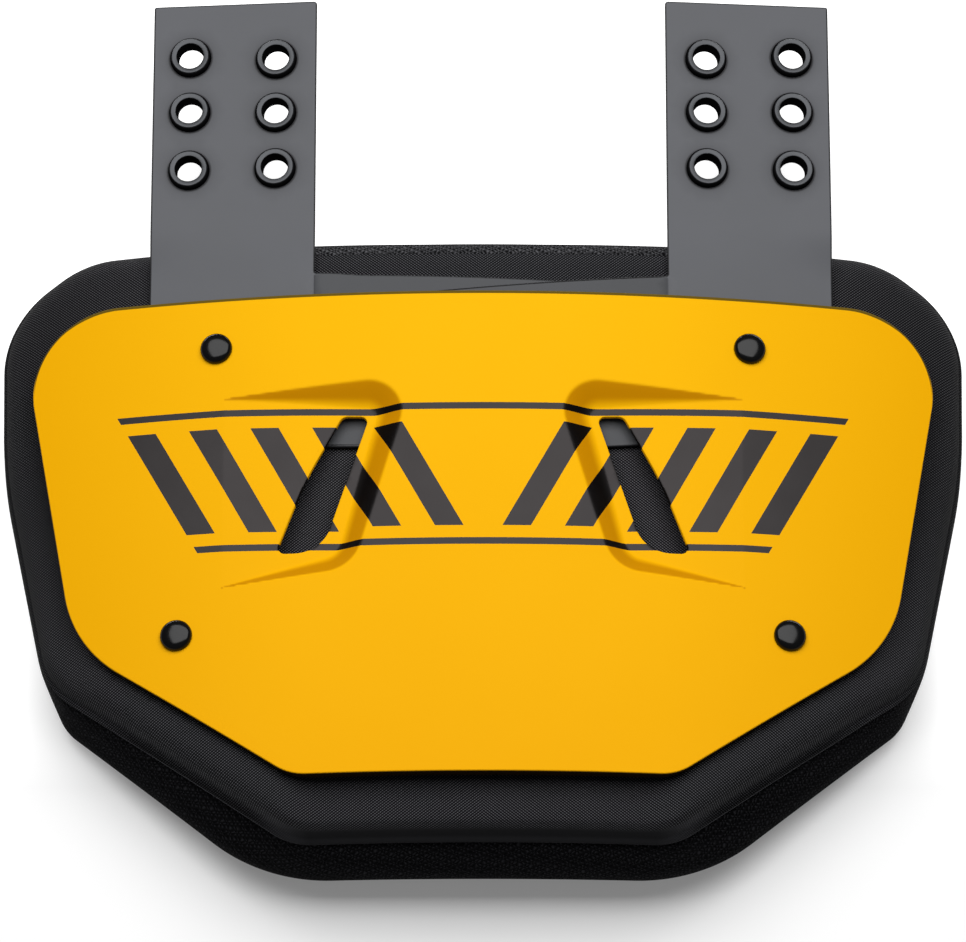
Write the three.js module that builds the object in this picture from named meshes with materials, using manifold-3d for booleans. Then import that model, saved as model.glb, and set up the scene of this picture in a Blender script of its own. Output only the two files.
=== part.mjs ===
// A football back plate, lying on its back: a bent plastic plate over a padded body, with two grommeted straps.
// Millimetres. +Z is up, out of the plate's front, and the straps point to +Y.
import * as THREE from "three";
import { mergeVertices } from "three/addons/utils/BufferGeometryUtils.js";
import Module from "manifold-3d";

const wasm = await Module();
wasm.setup();
const { degToRad, lerp, smoothstep } = THREE.MathUtils;

// Driving dimensions. Y counts from a datum near the middle of the plate until the part is set on its origin.
const GAP = 0.3; // between pieces that touch
const BEND_RADIUS = 527; // of the plate's front face, about an axis along Y
const CROWN = 61; // height of the plate's crown over the resting surface
const PLATE = { wall: 3, rimWall: 2.5, edgeRadius: 5, topRim: 5, topRimFrom: 44, topRimFull: 58 };
const RECESS = { depth: 3.5, floorWall: 1.5, wallRun: 1.8, flushAt: 88, deepAt: 36 };
const STRAP = { wall: 1.6, tuckedTo: 73, flatFrom: 92, rollDegrees: 5, riseDegrees: 2 };
const TAB = { middle: 88.9, shift: 2.8, width: 55.9, end: 174.8, curlFrom: 163.5, curlDegrees: 1 };
const ARM = { width: 63.5, pastMiddle: 36, lapFrom: 54, lapTo: 39 };
const GROMMET = { bore: 8, lip: 9.2, barrel: 10.4, flange: 14.4, backFlange: 14, stand: 2, backStand: 1.6 };
const RIVET = { head: 11, dome: 2.9, shank: 4.5, reach: 14.6 };
const PAD = { panelWall: 2.4, seamDrop: 8.5, hollow: 15, backRadius: 703 };

// Depths below the plate's front face, stacked from the front.
const STRAP_DEPTH = RECESS.depth + RECESS.floorWall + GAP;
const LAP_DEPTH = STRAP.wall + GAP;
const FABRIC_DEPTH = STRAP_DEPTH + STRAP.wall + LAP_DEPTH + GAP;
const RIM_DEPTH = FABRIC_DEPTH - GAP;

// How finely round forms are cut, and how far a cutter reaches past what it cuts.
const ARC_STEPS = 8;
const RING_STATIONS = 34;
const RECESS_STATIONS = 16;
const ROUND_SIDES = 12;
const STRAP_COLUMN = 14;
const STRAP_BEND_ROWS = 3;
const PAST = 10;

// Outlines as corner rows, clockwise as seen from the front. A mirrored outline lists its right half.
const PLATE_OUTLINE = mirrored([
  { at: "top", x: 161, y: 63.4, radius: 29 },
  { at: "side", x: 139.2, y: -59.4, radius: 45 },
  { at: "bottom", x: 65.4, y: -108.4, radius: 18 },
]);
const PAD_FRONT_OUTLINE = mirrored([
  { at: "top", x: 166.1, y: 86.8, radius: 39 },
  { at: "bend", x: 164.3, y: 12, radius: 160 },
  { at: "side", x: 147.5, y: -70.4, radius: 25 },
  { at: "bottom", x: 65, y: -130.7, radius: 16 },
]);
const PAD_BACK_OUTLINE = mirrored([
  { at: "top", x: 166.1, y: 85.8, radius: 39 },
  { at: "bend", x: 164.3, y: 11, radius: 160 },
  { at: "side", x: 146, y: -77, radius: 22 },
  { at: "bottom", x: 67, y: -136.4, radius: 55 },
]);
// The vent on the right: a scoop, flush on its outer side, and the slot through its floor.
const RECESS_OUTLINE = [
  { at: "inner top", x: 25.5, y: 30.6, radius: 12 },
  { at: "outer top", x: 96, y: 25.5, radius: 2 },
  { at: "outer bottom", x: 96, y: -44.5, radius: 2 },
  { at: "inner bottom", x: 46.4, y: -41, radius: 9 },
];
const SLOT_OUTLINE = [
  { at: "inner top", x: 38.8, y: 18.8, radius: 2 },
  { at: "outer top", x: 48, y: 18.8, radius: 3 },
  { at: "outer bottom", x: 70, y: -31.8, radius: 2 },
  { at: "inner bottom", x: 54.5, y: -31, radius: 9 },
];

// Cross-sections of the front panel. Inset is measured inward from the outline, drop down from the fabric's front.
const PANEL_OUTSIDE = [
  { inset: 10, drop: 0 },
  { inset: 5.8, drop: 0.5 },
  { inset: 2.6, drop: 2.1 },
  { inset: 0.7, drop: 4.8 },
  { inset: 0, drop: PAD.seamDrop },
];
const PANEL_INSIDE = [
  { inset: 2.4, drop: PAD.seamDrop },
  { inset: 3, drop: 6 },
  { inset: 4.6, drop: 4 },
  { inset: 7, drop: 2.8 },
  { inset: 10.4, drop: PAD.panelWall },
];
// The body's wall runs from the seam down to the back, leaning from the front outline to the back outline.
const BODY_WALL = [
  { down: 0.01, toBack: 0, swell: -0.6 },
  { down: 0.08, toBack: 0.1, swell: 0.6 },
  { down: 0.32, toBack: 0.45, swell: 1.2 },
  { down: 0.6, toBack: 0.85, swell: 1.2 },
  { down: 0.82, toBack: 1, swell: 0.4 },
  { down: 0.95, toBack: 1, swell: -2.5 },
  { down: 1, toBack: 1, swell: -7 },
];

const SIDES = [
  { name: "left", sign: -1, armTop: 72.1, armFall: 0.038, laps: true },
  { name: "right", sign: 1, armTop: 71.5, armFall: 0.089, laps: false },
];
const GROMMET_COLUMNS = [{ out: -14.2 }, { out: 15.7 }];
const GROMMET_ROWS = [{ y: 153.8 }, { y: 133.4 }, { y: 111.9 }];
const RIVET_ROWS = [
  { name: "upper", x: 91, y: 43.5 },
  { name: "lower", x: 103, y: -60.2 },
];
// The rivet's dome, as shares of its head's diameter and of its height.
const DOME = [
  { across: 0.48, up: 0.4 },
  { across: 0.38, up: 0.72 },
  { across: 0.2, up: 0.94 },
  { across: 0, up: 1 },
];

const FINISH = {
  plate: { color: 0xfcb918, roughness: 0.42, metalness: 0 },
  strap: { color: 0x6a6b6f, roughness: 0.5, metalness: 0 },
  grommet: { color: 0x232427, roughness: 0.35, metalness: 0 },
  rivet: { color: 0x17181a, roughness: 0.25, metalness: 0 },
  frontFabric: { color: 0x26272a, roughness: 0.9, metalness: 0 },
  meshFabric: { color: 0x0f1012, roughness: 0.95, metalness: 0 },
};

// Heights across the bend, at a depth below the plate's front face, and of the pad's arched back.
function heightAt(x, depth) {
  return CROWN - BEND_RADIUS + Math.sqrt((BEND_RADIUS - depth) ** 2 - x ** 2);
}

function backHeight(x) {
  return Math.max(0, PAD.hollow - x ** 2 / (2 * PAD.backRadius));
}

// A point of the plate: x is measured on its front face, and depth square to that face.
function onPlate(x, y, depth) {
  const turn = Math.asin(x / BEND_RADIUS);
  const reach = BEND_RADIUS - depth;
  return new THREE.Vector3(reach * Math.sin(turn), y, CROWN - BEND_RADIUS + reach * Math.cos(turn));
}

function onPad(point, drop) {
  return new THREE.Vector3(point.x, point.y, heightAt(point.x, FABRIC_DEPTH) - drop);
}

// Outlines with rounded corners.
function flipped(rows) {
  return rows.map((row) => ({ ...row, x: -row.x })).reverse();
}

function mirrored(rows) {
  return [...rows, ...flipped(rows)];
}

function insetCorners(rows, inset) {
  const edges = rows.map((row, i) => {
    const next = rows[(i + 1) % rows.length];
    const along = new THREE.Vector2(next.x - row.x, next.y - row.y).normalize();
    const start = new THREE.Vector2(row.x + along.y * inset, row.y - along.x * inset);
    return { along, start };
  });
  return rows.map((row, i) => {
    const before = edges.at(i - 1);
    const after = edges[i];
    const across = after.start.clone().sub(before.start);
    const reach = across.cross(after.along) / before.along.cross(after.along);
    const point = before.start.clone().addScaledVector(before.along, reach);
    return { point, before: before.along, after: after.along, radius: Math.max(row.radius - inset, GAP) };
  });
}

function roundedLoop(rows, inset = 0) {
  const loop = [];
  for (const { point, before, after, radius } of insetCorners(rows, inset)) {
    const turn = Math.acos(before.dot(after));
    const side = -Math.sign(before.cross(after));
    const start = point.clone().addScaledVector(before, -radius * Math.tan(turn / 2));
    const centre = start.clone().add(new THREE.Vector2(before.y, -before.x).multiplyScalar(side * radius));
    const first = start.clone().sub(centre).angle();
    for (let step = 0; step <= ARC_STEPS; step++) {
      const angle = first - (side * turn * step) / ARC_STEPS;
      loop.push(new THREE.Vector2(Math.cos(angle), Math.sin(angle)).multiplyScalar(radius).add(centre));
    }
  }
  return loop;
}

function walk(loop, from, to) {
  const count = ((to - from + loop.length) % loop.length) + 1;
  return Array.from({ length: count }, (_, k) => loop[(from + k) % loop.length]);
}

function yOn(chain, x) {
  const after = chain.findIndex((point) => point.x >= x);
  if (after <= 0) return chain.at(after).y;
  const [a, b] = [chain[after - 1], chain[after]];
  return lerp(a.y, b.y, (x - a.x) / (b.x - a.x));
}

// A ring of points: the upper edge from left to right, then the lower edge back, at the same stations.
function ringOf(rows, inset = 0, stations = RING_STATIONS) {
  const loop = roundedLoop(rows, inset);
  const byX = loop.map((point, i) => ({ x: point.x, i })).sort((a, b) => a.x - b.x);
  const [left, right] = [byX[0], byX.at(-1)];
  const upper = walk(loop, left.i, right.i);
  const lower = walk(loop, right.i, left.i).reverse();
  const ring = [];
  for (let k = 0; k < 2 * stations; k++) {
    const x = lerp(left.x, right.x, (1 - Math.cos((Math.PI * k) / stations)) / 2);
    ring.push(new THREE.Vector2(x, yOn(k <= stations ? upper : lower, x)));
  }
  return ring;
}

// Solids.
function geometryOf(points, triangles) {
  return new THREE.BufferGeometry().setFromPoints(points).setIndex(triangles.flat());
}

function quad(a, b, c, d) {
  return [
    [a, b, c],
    [a, c, d],
  ];
}

// The walls between rings of points, laid one after the other.
function skin(count, size) {
  const triangles = [];
  for (let k = 0; k < count - 1; k++) {
    for (let j = 0; j < size; j++) {
      const [a, b] = [k * size + j, k * size + ((j + 1) % size)];
      triangles.push(...quad(a, b, b + size, a + size));
    }
  }
  return triangles;
}

// Rungs across a ring, from its upper edge to its lower edge.
function ladder(size, offset) {
  const lowerOf = (i) => offset + ((size - i) % size);
  const triangles = [];
  for (let i = 0; i < size / 2; i++) {
    const rung = quad(offset + i, offset + i + 1, lowerOf(i + 1), lowerOf(i));
    triangles.push(...rung.filter((corners) => new Set(corners).size === 3));
  }
  return triangles;
}

function reversed(triangles) {
  return triangles.map(([a, b, c]) => [a, c, b]);
}

// Rings run from the front to the back, and the first and the last are closed across.
function loft(rings) {
  const size = rings[0].length;
  const front = reversed(ladder(size, 0));
  const back = ladder(size, (rings.length - 1) * size);
  return geometryOf(rings.flat(), [...front, ...skin(rings.length, size), ...back]);
}

function solidOf(geometry) {
  const bare = geometry.clone();
  bare.deleteAttribute("normal");
  bare.deleteAttribute("uv");
  const merged = mergeVertices(bare, 1e-4);
  const vertProperties = new Float32Array(merged.attributes.position.array);
  const triVerts = new Uint32Array(merged.index.array);
  return new wasm.Manifold(new wasm.Mesh({ numProp: 3, vertProperties, triVerts }));
}

function geometryFrom(solid) {
  const mesh = solid.getMesh();
  const geometry = new THREE.BufferGeometry();
  geometry.setAttribute("position", new THREE.BufferAttribute(mesh.vertProperties, 3));
  return geometry.setIndex(new THREE.BufferAttribute(mesh.triVerts, 1));
}

// An upright cutter through the whole height of the part.
function prism(rows) {
  const shape = new THREE.Shape(roundedLoop(rows).reverse());
  return solidOf(new THREE.ExtrudeGeometry(shape, { depth: CROWN + PAST, bevelEnabled: false }));
}

function pin(radius, length, place) {
  const geometry = new THREE.CylinderGeometry(radius, radius, length, ROUND_SIDES).rotateX(Math.PI / 2);
  return solidOf(geometry.applyQuaternion(place.turn).translate(...place.point));
}

function turned(profile) {
  const points = profile.map(({ radius, height }) => new THREE.Vector2(radius, height));
  return new THREE.LatheGeometry(points, ROUND_SIDES).rotateX(Math.PI / 2);
}

function turnTo(normal) {
  return new THREE.Quaternion().setFromUnitVectors(new THREE.Vector3(0, 0, 1), normal.normalize());
}

// Rivets stand square to the plate's front face, and their holes go through all that they hold.
const rivetPlaces = RIVET_ROWS.flatMap((row) =>
  SIDES.map((side) => {
    const point = onPlate(side.sign * row.x, row.y, 0);
    const inside = onPlate(side.sign * row.x, row.y, RIVET.reach);
    return { name: `rivet_${row.name}_${side.name}`, point, turn: turnTo(point.clone().sub(inside)) };
  }),
);

function withRivetHoles(solid) {
  const holes = rivetPlaces.map((place) => pin(RIVET.shank / 2 + GAP, 2 * (RIVET.reach + GAP), place));
  return holes.reduce((left, hole) => left.subtract(hole), solid);
}

function rivet() {
  const { head, dome, shank, reach } = RIVET;
  return turned([
    { radius: 0, height: -reach },
    { radius: shank / 2, height: -reach },
    { radius: shank / 2, height: GAP },
    { radius: head / 2, height: GAP },
    ...DOME.map(({ across, up }) => ({ radius: head * across, height: dome * up })),
  ]);
}

// Face plate. The recess's floor rises outward from its deepest line until it meets the front face.
function recessDepth(x) {
  return (RECESS.depth * (RECESS.flushAt - Math.abs(x))) / (RECESS.flushAt - RECESS.deepAt);
}

function recessRun(x) {
  return RECESS.wallRun * Math.max(recessDepth(x), 0);
}

// One ring of the recess, moved in from its outline, at a depth worked out from each point's x.
function recessRing(sign, { moved, depth }) {
  const rows = sign > 0 ? RECESS_OUTLINE : flipped(RECESS_OUTLINE);
  const ring = ringOf(rows, 0, RECESS_STATIONS);
  return ring.map((point, i) => {
    const along = ring[(i + 1) % ring.length].clone().sub(ring.at(i - 1)).normalize();
    const inward = new THREE.Vector2(along.y, -along.x);
    const place = point.clone().addScaledVector(inward, moved(point.x));
    return onPlate(place.x, place.y, depth(place.x));
  });
}

// What the recess adds behind the plate: its walls and floor.
function recessBump(sign) {
  const { wall } = PLATE;
  const { floorWall } = RECESS;
  const backOf = (x) => Math.max(recessDepth(x) + floorWall, wall - GAP);
  const sections = [
    { moved: () => -floorWall, depth: () => wall / 2 },
    { moved: () => -floorWall, depth: () => wall - 2 * GAP },
    { moved: (x) => recessRun(x) - floorWall - GAP, depth: backOf },
  ];
  return solidOf(loft(sections.map((section) => recessRing(sign, section))));
}

function recessCutter(sign) {
  const sections = [
    { moved: () => -RECESS.wallRun, depth: () => -1 },
    { moved: () => 0, depth: () => 0 },
    { moved: recessRun, depth: recessDepth },
  ];
  return solidOf(loft(sections.map((section) => recessRing(sign, section))));
}

function slotCutter(sign) {
  return prism(sign > 0 ? SLOT_OUTLINE : flipped(SLOT_OUTLINE));
}

// The rim is shallow along the top, where the straps pass under it, and meets the fabric elsewhere.
function rimDepth(y) {
  return lerp(RIM_DEPTH, PLATE.topRim, smoothstep(y, PLATE.topRimFrom, PLATE.topRimFull));
}

function facePlate() {
  const { edgeRadius, rimWall, wall } = PLATE;
  const sections = [0, 30, 60, 86].map((degrees) => ({
    inset: edgeRadius * (1 - Math.sin(degToRad(degrees))),
    depth: () => edgeRadius * (1 - Math.cos(degToRad(degrees))),
  }));
  sections.push({ inset: 0, depth: rimDepth });
  sections.push({ inset: rimWall, depth: rimDepth });
  sections.push({ inset: rimWall + GAP, depth: () => edgeRadius - GAP });
  sections.push({ inset: rimWall + edgeRadius, depth: () => wall });
  const rings = sections.map(({ inset, depth }) =>
    ringOf(PLATE_OUTLINE, inset).map(({ x, y }) => onPlate(x, y, depth(y))),
  );
  let solid = solidOf(loft(rings));
  for (const { sign } of SIDES) solid = solid.add(recessBump(sign));
  for (const { sign } of SIDES) solid = solid.subtract(recessCutter(sign)).subtract(slotCutter(sign));
  return geometryFrom(withRivetHoles(solid));
}

// Straps. The tab leaves the bend for a flat, and its free end turns up a little.
function tabMiddle(side) {
  return side.sign * TAB.middle + TAB.shift;
}

function tabHeight(side, x, y) {
  const start = heightAt(tabMiddle(side), STRAP_DEPTH);
  const roll = Math.tan(degToRad(STRAP.rollDegrees)) * side.sign * (tabMiddle(side) - x);
  const rise = Math.tan(degToRad(STRAP.riseDegrees)) * (y - STRAP.tuckedTo);
  const curl = Math.tan(degToRad(TAB.curlDegrees)) * Math.max(y - TAB.curlFrom, 0);
  return start + roll + rise + curl;
}

function tabNormal(side) {
  const roll = Math.tan(degToRad(STRAP.rollDegrees));
  const rise = Math.tan(degToRad(STRAP.riseDegrees));
  return new THREE.Vector3(side.sign * roll, -rise, 1);
}

function strapHeight(side, x, y) {
  const lap = side.laps ? LAP_DEPTH * smoothstep(-side.sign * x, -ARM.lapFrom, -ARM.lapTo) : 0;
  const tucked = heightAt(x, STRAP_DEPTH + lap);
  return lerp(tucked, tabHeight(side, x, y), smoothstep(y, STRAP.tuckedTo, STRAP.flatFrom));
}

function strapOutline(side) {
  const inner = tabMiddle(side) - (side.sign * TAB.width) / 2;
  const outer = tabMiddle(side) + (side.sign * TAB.width) / 2;
  const armEnd = -side.sign * ARM.pastMiddle;
  const armTop = (x) => side.armTop - side.armFall * side.sign * (inner - x);
  const rows = [
    { at: "tab inner", x: inner, y: TAB.end, radius: 3 },
    { at: "tab outer", x: outer, y: TAB.end, radius: 1 },
    { at: "heel", x: outer, y: armTop(outer) - ARM.width, radius: 4 },
    { at: "arm bottom", x: armEnd, y: armTop(armEnd) - ARM.width, radius: 4 },
    { at: "arm top", x: armEnd, y: armTop(armEnd), radius: 4 },
    { at: "crook", x: inner, y: armTop(inner), radius: 2 },
  ];
  return side.sign > 0 ? rows : rows.reverse();
}

// A bent sheet over the whole strap, wider than its outline, which then cuts it out.
function strapSheet(side) {
  const ends = [side.sign * (TAB.middle + TAB.width), -side.sign * (ARM.pastMiddle + PAST)];
  const [low, high] = [Math.min(...ends), Math.max(...ends)];
  const columns = Math.ceil((high - low) / STRAP_COLUMN);
  const ys = [-2 * PAST];
  for (let k = 0; k <= STRAP_BEND_ROWS; k++) {
    ys.push(lerp(STRAP.tuckedTo, STRAP.flatFrom, k / STRAP_BEND_ROWS));
  }
  ys.push(TAB.curlFrom, TAB.end + PAST);
  const rings = [];
  for (let k = 0; k <= columns; k++) {
    const x = lerp(low, high, k / columns);
    const edge = (drop) => ys.map((y) => new THREE.Vector3(x, y, strapHeight(side, x, y) - drop));
    rings.push([...edge(0), ...edge(STRAP.wall).reverse()]);
  }
  const size = rings[0].length;
  const closing = [];
  for (let j = 0; j < size / 2 - 1; j++) closing.push(...quad(j, j + 1, size - 2 - j, size - 1 - j));
  const far = closing.map((corners) => corners.map((corner) => corner + columns * size));
  const triangles = [...closing, ...reversed(skin(rings.length, size)), ...reversed(far)];
  return solidOf(geometryOf(rings.flat(), triangles));
}

function grommetPlaces(side) {
  const turn = turnTo(tabNormal(side));
  const places = GROMMET_ROWS.flatMap(({ y }) =>
    GROMMET_COLUMNS.map(({ out }) => {
      const x = tabMiddle(side) + side.sign * out;
      return { point: new THREE.Vector3(x, y, tabHeight(side, x, y)), turn };
    }),
  );
  return places.map((place, i) => ({ ...place, name: `grommet_${side.name}_${i + 1}` }));
}

function strap(side) {
  let solid = strapSheet(side).intersect(prism(strapOutline(side)));
  for (const place of grommetPlaces(side)) {
    solid = solid.subtract(pin(GROMMET.barrel / 2 + GAP, PAST, place));
  }
  return geometryFrom(withRivetHoles(solid));
}

// A grommet's section runs up its outside and back down its bore, from the face of its back flange.
function grommet() {
  const { bore, lip, barrel, flange, backFlange, stand, backStand } = GROMMET;
  const back = -STRAP.wall - GAP;
  const round = (flange - lip) / 6;
  const profile = [
    { radius: bore / 2, height: back - backStand + round },
    { radius: lip / 2, height: back - backStand },
    { radius: backFlange / 2, height: back - backStand + round },
    { radius: backFlange / 2, height: back },
    { radius: barrel / 2, height: back },
    { radius: barrel / 2, height: GAP },
    { radius: flange / 2, height: GAP },
    { radius: flange / 2, height: stand - round },
    { radius: flange / 2 - round, height: stand },
    { radius: lip / 2, height: stand },
    { radius: bore / 2, height: stand - round },
  ];
  return turned([...profile, profile[0]]);
}

// Pad.
function panelRings(rows) {
  return rows.map(({ inset, drop }) => ringOf(PAD_FRONT_OUTLINE, inset).map((point) => onPad(point, drop)));
}

function padFront() {
  return geometryFrom(withRivetHoles(solidOf(loft(panelRings([...PANEL_OUTSIDE, ...PANEL_INSIDE])))));
}

function wallRing({ down, toBack, swell }) {
  const back = ringOf(PAD_BACK_OUTLINE, -swell);
  return ringOf(PAD_FRONT_OUTLINE, -swell).map((front, i) => {
    const point = front.lerp(back[i], toBack);
    const seam = onPad(point, PAD.seamDrop + GAP);
    return seam.setZ(lerp(seam.z, backHeight(point.x), down));
  });
}

function padBody() {
  const underPanel = PANEL_INSIDE.map(({ inset, drop }) => ({ inset: inset + GAP, drop: drop + GAP })).reverse();
  const rings = [...panelRings(underPanel), ...BODY_WALL.map(wallRing)];
  return geometryFrom(withRivetHoles(solidOf(loft(rings))));
}

// Assembly.
const part = new THREE.Group();

function addPiece(name, geometry, finish, place) {
  const mesh = new THREE.Mesh(geometry, new THREE.MeshStandardMaterial(finish));
  mesh.name = name;
  if (place) {
    mesh.position.copy(place.point);
    mesh.quaternion.copy(place.turn);
  }
  part.add(mesh);
}

addPiece("pad_body", padBody(), FINISH.meshFabric);
addPiece("pad_front", padFront(), FINISH.frontFabric);
addPiece("face_plate", facePlate(), FINISH.plate);
for (const side of SIDES) {
  addPiece(`strap_${side.name}`, strap(side), FINISH.strap);
  for (const place of grommetPlaces(side)) addPiece(place.name, grommet(), FINISH.grommet, place);
}
for (const place of rivetPlaces) addPiece(place.name, rivet(), FINISH.rivet, place);

// The origin is the middle of the part's box, on the surface that it rests on.
part.updateMatrixWorld(true);
const box = new THREE.Box3().setFromObject(part);
const middle = box.getCenter(new THREE.Vector3());
part.position.set(-middle.x, -middle.y, -box.min.z);

export default part;
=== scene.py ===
# A football back plate: a yellow plate on a padded body, with two grommeted straps and four rivets.
import math

import bmesh
import bpy
import numpy as np
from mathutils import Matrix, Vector
from mathutils.geometry import delaunay_2d_cdt


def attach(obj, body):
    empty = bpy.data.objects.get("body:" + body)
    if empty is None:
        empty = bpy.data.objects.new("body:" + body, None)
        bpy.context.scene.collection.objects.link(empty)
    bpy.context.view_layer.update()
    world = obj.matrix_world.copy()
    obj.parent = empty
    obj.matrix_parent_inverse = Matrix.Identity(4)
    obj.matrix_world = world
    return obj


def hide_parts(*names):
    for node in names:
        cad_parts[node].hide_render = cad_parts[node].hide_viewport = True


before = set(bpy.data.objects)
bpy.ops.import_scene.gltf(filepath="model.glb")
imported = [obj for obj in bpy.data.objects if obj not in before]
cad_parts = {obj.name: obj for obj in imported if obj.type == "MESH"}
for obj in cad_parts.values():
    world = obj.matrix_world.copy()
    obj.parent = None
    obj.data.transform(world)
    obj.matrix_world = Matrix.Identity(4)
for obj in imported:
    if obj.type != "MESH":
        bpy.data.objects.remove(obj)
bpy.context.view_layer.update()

# Sizes are in millimetres from the drawing's datum, and become metres in the part's frame as a piece is made.
MM = 0.001
DATUM = np.array((0.0, -19.0, 0.0))
# The plate's front face has its crown at this height and is bent to this radius. Depths are below it.
CROWN = 61.0
BEND = 527.0
STRAP_DEPTH = 5.3
FABRIC_DEPTH = 9.1
PLATE = {"wall": 3.0, "edge": 0.6, "line": 0.5, "rim": 4.9, "rim_cut": 1.8}
SCOOP = {"depth": 5.4, "flush_at": 88.0, "deep_at": 36.0, "floor_wall": 1.5, "wall_run": 1.75}
STRAP = {"wall": 1.6, "tucked_to": 73.0, "flat_from": 92.0, "hole": 5.5, "dip": 4.0}
TAB = {"middle": 88.9, "shift": 2.8, "inner": 28.25, "outer": 28.75, "end": 175.2, "curl_from": 163.5}
TAB_SLOPES = {
    "roll": math.tan(math.radians(5)),
    "rise": math.tan(math.radians(2)),
    "curl": math.tan(math.radians(1)),
}
LAP = {"depth": 1.9, "start": 54.0, "end": 39.0}
PAD = {"seam_drop": 8.5, "hollow": 15.0, "back_radius": 703.0, "swell": 5.0, "dent": 2.6, "lid": 2.8}
PANEL = {"inset": 10.0, "wall": 2.4}

# Outlines as rows of corner x, y and radius, clockwise from the top right.
# A mirrored outline lists its right half.
PLATE_HALF = [(160.2, 62.3, 29.5), (138.3, -61.3, 45), (64.5, -111.5, 18)]
PAD_FRONT_HALF = [
    (20, 86.0, 150),
    (90, 87.1, 200),
    (138, 86.8, 33),
    (165.7, 67.5, 34),
    (164.4, 12, 160),
    (147.9, -68.4, 30),
    (63.9, -129.8, 22),
]
PAD_BACK_HALF = [
    (20, 85.0, 150),
    (90, 86.1, 200),
    (138, 85.8, 33),
    (165.7, 66.5, 34),
    (164.4, 11, 160),
    (150.4, -56, 50),
    (142, -77.9, 18),
    (73.3, -135.3, 62),
]
# The right vent's scoop and slot.
RECESS_RIGHT = [(22.5, 31.9, 12), (96, 24.2, 2), (96, -44.9, 2), (43.6, -39, 14)]
SLOT_RIGHT = [(39.1, 18.0, 2), (48.1, 18.0, 3), (60.6, -5.7, 120), (70.2, -31.9, 2), (54.9, -31.4, 13)]
# The lip of the plate's rim: inset from the outline and height over the lip's end.
RIM_LIP = [(0, 0.5), (0.15, 0.15), (0.5, 0), (2.0, 0), (2.35, 0.15), (2.5, 0.5)]
# The front panel's section: inset from the outline and drop from the fabric's front, ending in a rolled hem.
PANEL_UPPER = [
    (PANEL["inset"], 0),
    (5.8, 0.5),
    (2.6, 2.1),
    (0.7, 4.8),
    (0.3, 6.6),
    (-0.5, 7.2),
    (-0.9, 7.8),
    (-0.75, 8.5),
    (0.2, 8.9),
    (2.4, 8.6),
]
PANEL_LOWER = [
    (PANEL["inset"], 0),
    (5.6, 0.2),
    (3.7, 1.1),
    (2.2, 3.6),
    (1.0, 6.4),
    (-0.2, 7.1),
    (-0.9, 7.7),
    (-0.75, 8.5),
    (0.2, 8.9),
    (2.4, 8.6),
]
PANEL_SLANT = [
    (PANEL["inset"], 0),
    (6.0, 0.7),
    (3.2, 1.9),
    (1.9, 3.2),
    (1.3, 6.5),
    (-0.2, 7.1),
    (-0.9, 7.7),
    (-0.75, 8.5),
    (0.2, 8.9),
    (2.4, 8.6),
]
# The panel's back and the body's front under it, the same way.
PANEL_UNDER = [(3, 6), (4.6, 4), (7, 2.8), (10.4, PANEL["wall"])]
BODY_UNDER_PANEL = [(4, 7.2), (6.5, 4.2), (10.7, PAD["lid"])]
# The body's wall: share of the way down, share of the lean to the back outline, and swell.
WALL_SECTION = [
    (0.0, 0.0, -2.6),
    (0.01, 0.0, -1.0),
    (0.05, 0.05, 0.2),
    (0.12, 0.15, 0.8),
    (0.32, 0.45, 1.2),
    (0.6, 0.85, 1.2),
    (0.82, 1.0, 0.4),
    (0.92, 1.0, -1.2),
    (0.975, 1.0, -3.6),
    (1.0, 1.0, -7.0),
]
# Each strap: the side it is on, its arm's top edge at the tab, that edge's fall, the arm's width and its
# reach past the middle, whether it runs under the other arm, and how dark the painted shade in the fold
# beside the tab is.
SIDES = {
    "left": {
        "sign": -1,
        "arm_top": 72.5,
        "arm_fall": 0.038,
        "arm_wide": 63.2,
        "arm_past": 36,
        "under": True,
        "fold": 0.45,
    },
    "right": {
        "sign": 1,
        "arm_top": 71.7,
        "arm_fall": 0.089,
        "arm_wide": 61.0,
        "arm_past": 24,
        "under": False,
        "fold": 0.1,
    },
}
# A strap's cut edge: inset from the outline and drop from the front.
STRAP_EDGE = [(0.3, 0.05), (0.1, 0.16), (0, 0.45), (0, 1.25), (0.1, 1.5)]
# Each strap's grommets: distance out from the tab's middle, and y.
GROMMETS = [(-14.2, 153.5), (15.7, 155.2), (-14.2, 133.4), (15.7, 134.6), (-14.2, 112.5), (15.7, 112.8)]
# A grommet's section: radius and height over the strap's front.
GROMMET_PROFILE = [
    (4.4, -3.1),
    (4.55, -3.4),
    (4.9, -3.5),
    (6.5, -3.5),
    (6.85, -3.35),
    (7.0, -3.0),
    (7.0, -1.75),
    (5.3, -1.7),
    (5.3, 0.05),
    (7.15, 0.05),
    (7.2, 0.15),
    (7.15, 1.1),
    (6.95, 1.75),
    (6.65, 2.18),
    (6.3, 2.4),
    (5.0, 2.4),
    (4.8, 2.32),
    (4.68, 2.1),
    (4.6, 1.8),
    (4.5, 1.0),
    (4.42, 0.1),
]
# The rivets' x and y, on both sides.
RIVETS = {"upper": (91, 43.5), "lower": (103, -60.2)}
RIVET = {"head": 5.5, "dome": 2.9, "skirt": 0.5, "shank": 2.25, "reach": 14.6}


# Outlines.
def flipped(rows):
    return [(-x, y, r) for x, y, r in reversed(rows)]


def mirrored(rows):
    return rows + flipped(rows)


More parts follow.
